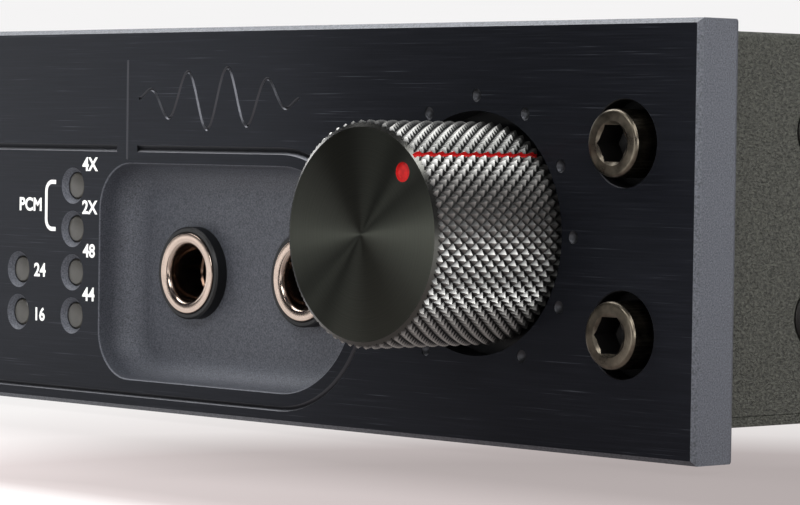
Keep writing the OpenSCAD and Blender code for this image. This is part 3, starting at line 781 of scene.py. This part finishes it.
diamonds_round = 61
diamond_length = 1.58
knurl_front = knob_front - 0.9
rows = math.ceil((knob_back - knob_front + 2) / (diamond_length / 2))
bm = bmesh.new()
corners = [
    bm.verts.new(axis + Vector((knob_radius, knurl_front + j * diamond_length / 2, 0)) * MM)
    for j in range(rows + 1)
]
edges = [bm.edges.new(pair) for pair in zip(corners, corners[1:])]
bmesh.ops.spin(
    bm,
    geom=corners + edges,
    cent=axis,
    axis=(0, 1, 0),
    angle=math.tau,
    steps=2 * diamonds_round,
    use_merge=True,
)
valleys = set()
for vert in bm.verts:
    out = vert.co - axis
    column = round(math.atan2(out.z, out.x) / math.tau * 2 * diamonds_round)
    row = round((out.y / MM - knurl_front) / (diamond_length / 2))
    if (column + row) % 2:
        valleys.add(vert)
for vert in valleys:
    out = Vector((vert.co.x - axis.x, 0, vert.co.z - axis.z))
    vert.co -= out.normalized() * knurl_depth * MM
for face in list(bm.faces):
    low_corners = [v for v in face.verts if v in valleys]
    bmesh.utils.face_split(face, *low_corners)
rims = [e for e in bm.edges if e.is_boundary]
bmesh.ops.holes_fill(bm, edges=rims, sides=0)
outward(bm)
knob = new_object("volume_knob", bm, [knurled], sharp=5)

# The knurled bar is kept only where it meets the blank, a bevelled and hollowed bar.
bevel_start = knob_radius - 0.75
blank_radius = knob_radius + 0.3
bevel_rise = (blank_radius - bevel_start) * 0.6
cavity_radius, cavity_front = 8.5, -4
profile = [(0, knob_front), (bevel_start, knob_front), (blank_radius, knob_front + bevel_rise)]
profile += [(blank_radius, knob_back), (cavity_radius, knob_back), (cavity_radius, cavity_front)]
bm = bmesh.new()
turned(bm, [*profile, (0, cavity_front)], axis, steps=160)
outward(bm)
for face in bm.faces:
    face.material_index = int(-0.95 < face.normal.y < -0.3)
combine(knob, new_object("knob_blank", bm, [spun, diamond_cut]), "INTERSECT")

pointer = math.radians(43.5)
toward = Vector((math.sin(pointer), 0, math.cos(pointer)))
slot_half, slot_depth = 0.26, 0.62
dot_out = 8.8
bm = bmesh.new()
block(
    bm,
    at(knob_x - slot_half, knob_front - 1, knob_radius - slot_depth),
    at(knob_x + slot_half, knob_back + 1, knob_radius + 1),
)
bmesh.ops.rotate(bm, cent=axis, matrix=Matrix.Rotation(pointer, 4, "Y"), verts=bm.verts)
outward(bm)
combine(knob, new_object("pointer_line", bm, [red]))
bm = bmesh.new()
dot = axis + (toward * dot_out + Vector((0, knob_front, 0))) * MM
turned(bm, [(0, 0.6), (0.6, 0.58), (0.88, 0.5), (1.0, 0.35), (1.0, -0.5), (0, -0.5)], dot, steps=40)
outward(bm)
combine(knob, new_object("pointer_dot", bm, [red]))
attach(knob, "volume_knob")
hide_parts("knob")

# ---- Headphone sockets --------------------------------------------------------------------
# A threaded brass sleeve, nickel-plated, with a polished flared mouth, held by a black
# moulded collar; contact springs show inside the black body.

nickel, tree, shader = material("polished_nickel_plate", "#a8988d", 0.18, 1.0)
vary(tree, shader, grains(tree, 0.8, Detail=3.0), roughness=(0.1, 0.24))
moulded, tree, shader = material("moulded_black_nylon", "#0c0d0e", 0.42, specular_ior_level=0.35)
vary(tree, shader, grains(tree, 0.25, Detail=3.0), (0.3, "#08090a"), (0.7, "#101113"), relief=0.01)
bronze, tree, shader = material("phosphor_bronze_strip", "#b98f5c", 0.3, 1.0)
vary(tree, shader, grains(tree, 0.6, Detail=2.0), roughness=(0.2, 0.42))
sleeve_radius, sleeve_lip = 4.62, 0.12
bore, bore_step = 3.2, 3.0
flare_wide, flare_long = 0.5, 0.8
collar_bore, collar_radius = 4.65, 5.3
quarter_turn = [math.radians(a) for a in range(0, 91, 15)]

for side in ("left", "right"):
    sleeve_low, sleeve_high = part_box(f"jack_{side}_sleeve")
    centre = (sleeve_low + sleeve_high) / 2
    centre.y = plate_low.y
    front = millimetres(sleeve_low).y
    back = millimetres(sleeve_high).y
    lip = []
    flare = []
    for a in quarter_turn:
        away, along = 1 - math.cos(a), 1 - math.sin(a)
        lip.append((sleeve_radius - sleeve_lip * away, front + sleeve_lip * along))
        flare.append((bore + flare_wide * along, front + flare_long * away))
    step = [(bore, front + 5), (bore_step, front + 5), (bore_step, front + 5.4), (bore, front + 5.4)]
    bm = bmesh.new()
    turned(bm, [(sleeve_radius, back), *lip, *flare, *step, (bore, back), (sleeve_radius, back)], centre)
    outward(bm)
    for face in bm.faces:
        face.material_index = int(face.calc_center_median().y > centre.y + (front + 5.3) * MM)
    sleeve = new_object(f"socket_{side}_sleeve", bm, [nickel, moulded], sharp=35)
    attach(sleeve, "chassis")
    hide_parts(f"jack_{side}_sleeve")

    front = millimetres(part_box(f"jack_{side}_nut")[0]).y
    ring = [(collar_bore, front + 0.1), (collar_bore + 0.1, front), (collar_radius - 0.2, front)]
    ring += [(collar_radius, front + 0.2), (collar_radius, pocket_depth), (collar_bore, pocket_depth)]
    bm = bmesh.new()
    turned(bm, [(collar_bore, pocket_depth), *ring], centre)
    outward(bm)
    collar = new_object(f"socket_{side}_collar", bm, [moulded])
    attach(collar, "chassis")
    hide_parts(f"jack_{side}_nut")

    bm = bmesh.new()
    for turn in (-0.9, 0.5, 2.3):
        spring = block(bm, centre + Vector((-0.9, 10.5, -3.38)) * MM, centre + Vector((0.9, 22, -3.2)) * MM)
        tip = [v for v in spring if v.co.y < centre.y + 11 * MM]
        bmesh.ops.translate(bm, vec=(0, 0, 0.5 * MM), verts=[v for v in spring if v not in tip])
        bmesh.ops.rotate(bm, cent=centre, matrix=Matrix.Rotation(turn, 4, "Y"), verts=spring)
    outward(bm)
    springs = new_object(f"socket_{side}_springs", bm, [bronze])
    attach(springs, "chassis")

# ---- Push buttons -------------------------------------------------------------------------
# Turned aluminium caps, black anodised, with a shallow dished face and a broken edge.

dish_radius, dish_depth = 2.9, 0.35
dish_rings = (0, 0.6, 1.2, 1.8, 2.4, dish_radius)
cap_radius, stem_radius = 3.5, 1.6
flange_radius, flange_front, flange_back = 4.6, 6.2, 7.1
for name in button_names:
    low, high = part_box("button_" + name)
    place = millimetres((low + high) / 2)
    front = millimetres(low).y
    bm = bmesh.new()
    dish = [(r, front + dish_depth * (1 - (r / dish_radius) ** 2)) for r in dish_rings]
    cap_edge = [(3.1, front), (3.35, front + 0.06), (cap_radius, front + 0.25), (cap_radius, flange_front)]
    stem = [(flange_radius, flange_front), (flange_radius, flange_back), (stem_radius, flange_back)]
    turned(bm, [*dish, *cap_edge, *stem, (stem_radius, 11), (0, 11)], at(place.x, 0, place.z))
    outward(bm)
    turned_cap = faced(f"turned_black_anodised_{name}", at(place.x, 0, place.z))
    cap = new_object(f"{name}_cap", bm, [turned_cap])
    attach(cap, f"{name}_button")
    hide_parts("button_" + name)

# ---- Case ---------------------------------------------------------------------------------
# Sheet steel, folded: a cover over the top and sides, and a tray below. Both wear a black
# powder coat that has wrinkled finely in the oven.

coat, tree, shader = material("wrinkled_black_powder_coat", "#1d1e1a", 0.5)
wrinkle = grains(tree, 0.26, stretch=(1.3, 1.6, 1), Detail=2.0, Roughness=0.6, Distortion=0.5)
speck = grains(tree, 0.13, stretch=(1, 1.5, 1), Detail=2.0)
mixed = put(tree, "Mix", {"Factor": 0.3, "A": wrinkle, "B": speck}).outputs[0]
vary(tree, shader, mixed, (0.38, "#15160f"), (0.6, "#484941"), relief=0.8)
vary(tree, shader, speck, roughness=(0.45, 0.65))

low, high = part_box("top_cover")
bend = 1.5
cover_sheet = 1.2
bm = bmesh.new()
block(bm, low, high)
long_edges = [e for e in bm.edges if abs(e.verts[0].co.x - e.verts[1].co.x) < MM]
top_edges = [e for e in long_edges if all(abs(v.co.z - high.z) < same_place for v in e.verts)]
ease(bm, top_edges, bend, 6)
outward(bm)
open_sides = [f for f in bm.faces if abs(f.normal.y) > 0.9 or f.normal.z < -0.9]
bmesh.ops.delete(bm, geom=open_sides, context="FACES")
outside = bm.faces[:]
bmesh.ops.solidify(bm, geom=outside, thickness=cover_sheet * MM)
outward(bm)
cover = new_object("case_cover", bm, [coat])
half_width = (high.x - low.x) / 2 / MM


def turned_set(profile, places, steps):
    """A turned shape at each place. A place is a matrix that carries the origin and its axis there."""
    bm = bmesh.new()
    for place in places:
        done = set(bm.verts)
        turned(bm, profile, Vector((0, 0, 0)), steps)
        bmesh.ops.transform(bm, matrix=place, verts=[vert for vert in bm.verts if vert not in done])
    outward(bm)
    return bm


side_screws = [
    Matrix.Translation(at(side * half_width, y, z)) @ Matrix.Rotation(side * quarter, 4, "Z")
    for side in (-1, 1)
    for y in (21.5, 196)
    for z in (11, -8)
]
sink = [(0, -0.5), (4.1, -0.5), (3.7, 0), (1.9, 1.3), (1.9, 4), (0, 4)]
combine(cover, new_object("sinks", turned_set(sink, side_screws, 40), [coat]))
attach(cover, "chassis")
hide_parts("top_cover")

black_oxide, tree, shader = material("black_oxide_steel", "#1d1c1b", 0.35, 0.9)
vary(tree, shader, grains(tree, 0.4, Detail=3.0), roughness=(0.25, 0.5))
countersunk = [(0, 0.1), (2.9, 0.1), (3.15, 0.22), (1.5, 1.7), (1.5, 7), (0, 7)]
side_set = new_object("side_screws", turned_set(countersunk, side_screws, 40), [black_oxide])
key_radius = 1.1 * MM
key_depth = 2.4 * MM
bm = bmesh.new()
for place in side_screws:
    bmesh.ops.create_cone(
        bm,
        cap_ends=True,
        segments=6,
        radius1=key_radius,
        radius2=key_radius,
        depth=key_depth,
        matrix=Matrix.Translation(place.translation) @ Matrix.Rotation(quarter, 4, "Y"),
    )
outward(bm)
combine(side_set, new_object("keys", bm, [black_oxide]))
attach(side_set, "chassis")
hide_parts("cover_screws")

low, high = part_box("base_tray")
base_sheet = 1.1
bm = bmesh.new()
block(bm, low, Vector((high.x, high.y, low.z + base_sheet * MM)))
ease(bm, bm.edges, 0.25, 2)
outward(bm)
tray = new_object("case_tray", bm, [coat])
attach(tray, "chassis")
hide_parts("base_tray")

# ---- Feet ---------------------------------------------------------------------------------
# Moulded black rubber, dished underneath and screwed to the tray. Its dull skin looks slightly
# cloudy, as rubber does when it has stood a while.

rubber, tree, shader = material("moulded_black_rubber", "#141414", 0.7)
vary(tree, shader, grains(tree, 0.5, Detail=3.0), (0.3, "#101010"), (0.7, "#1c1c1b"), relief=0.02)
low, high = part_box("rubber_feet")
foot_radius = 8.0
foot_tall = (high.z - low.z) / MM
foot = [(0, 1.5), (2.0, 1.5), (2.4, 0.0), (6.6, 0.0), (7.1, 0.15), (7.35, 0.6)]
foot += [(foot_radius, foot_tall - 0.3), (7.7, foot_tall), (0, foot_tall)]
foot_places = [
    Matrix.Translation((x, y, low.z)) @ Matrix.Rotation(quarter, 4, "X")
    for x in (low.x + foot_radius * MM, high.x - foot_radius * MM)
    for y in (low.y + foot_radius * MM, high.y - foot_radius * MM)
]
feet = new_object("foot_set", turned_set(foot, foot_places, 48), [rubber])
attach(feet, "chassis")
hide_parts("rubber_feet")

# ---- Parts kept from the frame ------------------------------------------------------------
# Everything whose plain shape is right keeps it, and takes the finish of the real part.


def plain(name, dark, light, roughness, metallic, size, **sockets):
    """A finish whose colour and gloss vary gently over grains of that many millimetres."""
    made, tree, shader = material(name, light, roughness, metallic, **sockets)
    spots = grains(tree, size, Detail=3.0)
    glosses = (roughness * 0.8, roughness * 1.25)
    vary(tree, shader, spots, (0.35, dark), (0.65, light), roughness=glosses)
    return made


zinc = plain("zinc_plated_steel", "#8f9294", "#b4b7b8", 0.32, 1.0, 2.0)
extruded = plain("extruded_aluminium", "#a5a7a9", "#c6c8ca", 0.34, 1.0, 1.5)
gold = plain("gold_plated_brass", "#b98f3c", "#d9b25e", 0.2, 1.0, 1.0)
tin = plain("tinned_steel", "#a9abac", "#cfd1d2", 0.25, 1.0, 1.2)
satin_black = plain("satin_black_enamel", "#121213", "#1d1d1f", 0.4, 0.0, 0.5)
white_nylon = plain("moulded_white_nylon", "#d9d8d2", "#eceae4", 0.45, 0.0, 0.8)
mask = plain("green_solder_mask", "#0d3d22", "#14522f", 0.3, 0.0, 3.0, coat_weight=0.3)
tape = plain("polyester_winding_tape", "#a57f1f", "#c9a136", 0.3, 0.0, 2.5)
sleeve_blue = plain("shrink_sleeve_blue", "#131d4a", "#1c2a66", 0.3, 0.0, 2.0)
grey_pvc = plain("grey_pvc_ribbon", "#7d7f84", "#94969b", 0.45, 0.0, 1.3)
kept = {
    coat: ("front_subpanel", "rear_panel"),
    black_oxide: ("knob_grub_screw",),
    zinc: (
        "press_nuts", "volume_pot_body", "volume_pot_nut", "board_standoffs", "board_screws",
        "transformer_bolt",
    ),
    extruded: ("volume_shaft", "heat_sink"),
    gold: ("volume_pot_bushing", "rca_nuts"),
    tin: ("mains_pins", "trigger_ring"),
    moulded: (
        "jack_left_body", "jack_right_body", "button_switches", "converter_chip", "receiver_chip",
        "op_amps", "voltage_regulators", "optical_left_socket", "optical_right_socket",
        "optical_left_shutter", "optical_right_shutter", "trigger_socket",
    ),
    white_nylon: ("indicator_leds", "output_relays", "usb_tongue"),
    mask: ("front_board", "main_board"),
    tape: ("power_transformer",),
    sleeve_blue: ("filter_capacitors",),
    grey_pvc: ("ribbon_cable",),
}
for finish, names in kept.items():
    for name in names:
        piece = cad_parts[name]
        piece.data.materials.clear()
        piece.data.materials.append(finish)

# ---- Rear connectors ----------------------------------------------------------------------
# A moulded mains inlet over its fuse drawer, two balanced outputs with die-cast flanges, six
# gilt phono sockets with white and red insulators, a square USB socket, and cross-head screws.

rear = millimetres(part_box("rear_panel")[1]).y


def rounded(x, z, wide, tall, corner, cut=0.0):
    """A rectangle's outline with rounded corners; cut slants its two upper corners instead."""
    outline = []
    for quadrant, (right, up) in enumerate(((1, 1), (-1, 1), (-1, -1), (1, -1))):
        corner_x, corner_z = x + right * wide / 2, z + up * tall / 2
        if cut and up > 0:
            slant = [(corner_x, corner_z - cut), (corner_x - right * cut, corner_z)]
            outline += slant if right > 0 else slant[::-1]
            continue
        for a in range(quadrant * 90, quadrant * 90 + 91, 18):
            bend = math.radians(a)
            outline.append((
                corner_x - right * corner + corner * math.cos(bend),
                corner_z - up * corner + corner * math.sin(bend),
            ))
    return outline


def prism(outline, front, back, edge=0.0):
    """A bar of that outline, front to back from the rear panel's face, its outer rim rounded."""
    bm = bmesh.new()
    face = bm.faces.new([bm.verts.new(at(x, rear + front, z)) for x, z in outline])
    tip = draw_out(bm, face, False)
    bmesh.ops.translate(bm, vec=(0, (back - front) * MM, 0), verts=tip.verts)
    if edge:
        ease(bm, tip.edges, edge, 3)
    outward(bm)
    return bm


def rod(x, z, profile, steps=48):
    """A turned solid whose profile's depths are counted from the rear panel's face."""
    bm = bmesh.new()
    turned(bm, [(r, rear + y) for r, y in profile], at(x, 0, z), steps)
    outward(bm)
    return bm


def moulding(name, finish, solids, holes=()):
    """One closed piece: its solids joined together, less its holes."""
    made = new_object(name, solids[0], [finish])
    for other in solids[1:]:
        combine(made, new_object(name + "_solid", other, [finish]), "UNION")
    for hole in holes:
        combine(made, new_object(name + "_hole", hole, [finish]))
    return made


inlet_x, socket_z, drawer_z = 90, 7.5, -9
inlet = moulding(
    "power_inlet",
    moulded,
    [
        prism(rounded(inlet_x, 1, 31, 35, 2.5), 0, 3, 0.7),
        prism(rounded(inlet_x, 1.3, 27, 30.4, 1), -20, 1),
    ],
    [
        prism(rounded(inlet_x, socket_z, 24, 16.4, 0.8, cut=5.2), -15, 4),
        prism(rounded(inlet_x, drawer_z, 24, 9, 0.3), -17, 4),
    ],
)
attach(inlet, "chassis")
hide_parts("mains_inlet")
drawer = moulding(
    "fuse_tray",
    moulded,
    [
        prism(rounded(inlet_x, drawer_z, 23.5, 8.5, 0.6), -16, 3, 0.4),
        prism(rounded(inlet_x, drawer_z, 12, 2, 0.8), 2.9, 4.2, 0.4),
    ],
    [
        prism(rounded(inlet_x, drawer_z + 2.6, 8, 1.4, 0.6), 2.2, 4),
        prism(rounded(inlet_x, drawer_z, 21, 7, 0.5), -18, 0),
    ],
)
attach(drawer, "fuse_carrier")
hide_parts("fuse_drawer")

xlr_places = {"left": 20, "right": 50}
xlr_z = 1
screw_x, screw_z = 9.5, 12
screw_heads = [(x + v * screw_x, xlr_z + v * screw_z) for x in xlr_places.values() for v in (-1, 1)]
mouth = [(0, -13), (9.45, -13), (9.45, 1.4), (10.3, 2.3), (10.3, 4), (0, 4)]
barrel = [(0, -16), (11.9, -16), (11.9, 0.5), (0, 0.5)]
screw_hole = [(0, -1), (1.6, -1), (1.6, 4), (0, 4)]
for side, x in xlr_places.items():
    own_screws = [place for place in screw_heads if abs(place[0] - x) < 12]
    flange = moulding(
        f"balanced_{side}",
        satin_black,
        [prism(rounded(x, xlr_z, 26, 31, 3.2), 0, 2.5, 0.6), rod(x, xlr_z, barrel, 64)],
        [rod(x, xlr_z, mouth, 64), *[rod(*place, screw_hole, 24) for place in own_screws]],
    )
    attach(flange, "chassis")
    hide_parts(f"xlr_{side}_shell")

pin = [(r, rear + y) for r, y in ((0, -13), (1.2, -13), (1.2, -0.4), (1.05, 0), (0.7, 0.35), (0, 0.5))]
bm = bmesh.new()
for x in xlr_places.values():
    for pin_x, pin_z in ((-3.9, 2), (3.9, 2), (0, -4.2)):
        turned(bm, pin, at(x + pin_x, 0, xlr_z + pin_z), steps=24)
outward(bm)
pins = new_object("balanced_pins", bm, [gold])
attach(pins, "chassis")
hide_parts("xlr_pins")

phono_places = [(x, z) for x in (-6, -22, -38) for z in (9.5, -7.5)]
shell_profile = [
    (3.55, -9), (4.4, -9), (4.4, 2.2), (4.15, 2.4), (4.15, 4.6), (3.95, 4.8), (3.95, 5.4), (4.15, 5.6),
    (4.15, 9.0), (4.02, 9.38), (3.85, 9.5), (3.66, 9.36), (3.55, 9.0), (3.55, -9),
]
ring_profile = [(1.6, -9), (3.5, -9), (3.5, 8.2), (3.3, 8.6), (2.3, 8.6), (1.9, 8.3), (1.6, 7.9), (1.6, -9)]
red_nylon = plain("moulded_red_nylon", "#8f1712", "#b3221b", 0.45, 0.0, 0.8)
for name, profile, finishes, node, slot in (
    ("phono_shells", shell_profile, [gold], "rca_shells", "gold_plate"),
    ("phono_insulators", ring_profile, [white_nylon, red_nylon], "rca_insulators", "white_plastic"),
):
    bm = bmesh.new()
    for x, z in phono_places:
        turned(bm, [(r, rear + y) for r, y in profile], at(x, 0, z), steps=48)
    outward(bm)
    for face in bm.faces:
        face.material_index = int(len(finishes) > 1 and face.calc_center_median().z < at(0, 0, 1).z)
    piece = new_object(name, bm, finishes)
    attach(piece, "chassis")
    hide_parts(node)

usb_x = -80
usb = moulding(
    "square_usb",
    tin,
    [prism(rounded(usb_x, 0, 12, 11, 0.9), -15, 2, 0.3)],
    [prism(rounded(usb_x, 0, 8.5, 7.8, 0.4, cut=1.8), -13, 3)],
)
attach(usb, "chassis")
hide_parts("usb_shell")

head = [(0, 0), (1.5, 0), (1.5, 2.5), (2.6, 2.5), (2.6, 3.1), (2.3, 3.6), (1.5, 3.9), (0, 4)]
bm = bmesh.new()
for x, z in screw_heads:
    turned(bm, [(r, rear + y) for r, y in head], at(x, 0, z), steps=40)
outward(bm)
heads = new_object("balanced_screws", bm, [black_oxide])
cross_long, cross_wide = 2.8, 0.55
for wide, tall in ((cross_long, cross_wide), (cross_wide, cross_long)):
    bm = bmesh.new()
    for x, z in screw_heads:
        block(bm, at(x - wide / 2, rear + 3, z - tall / 2), at(x + wide / 2, rear + 5, z + tall / 2))
    outward(bm)
    combine(heads, new_object("cross", bm, [black_oxide]))
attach(heads, "chassis")
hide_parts("connector_screws")

bpy.context.scene.view_settings.view_transform = "Standard"
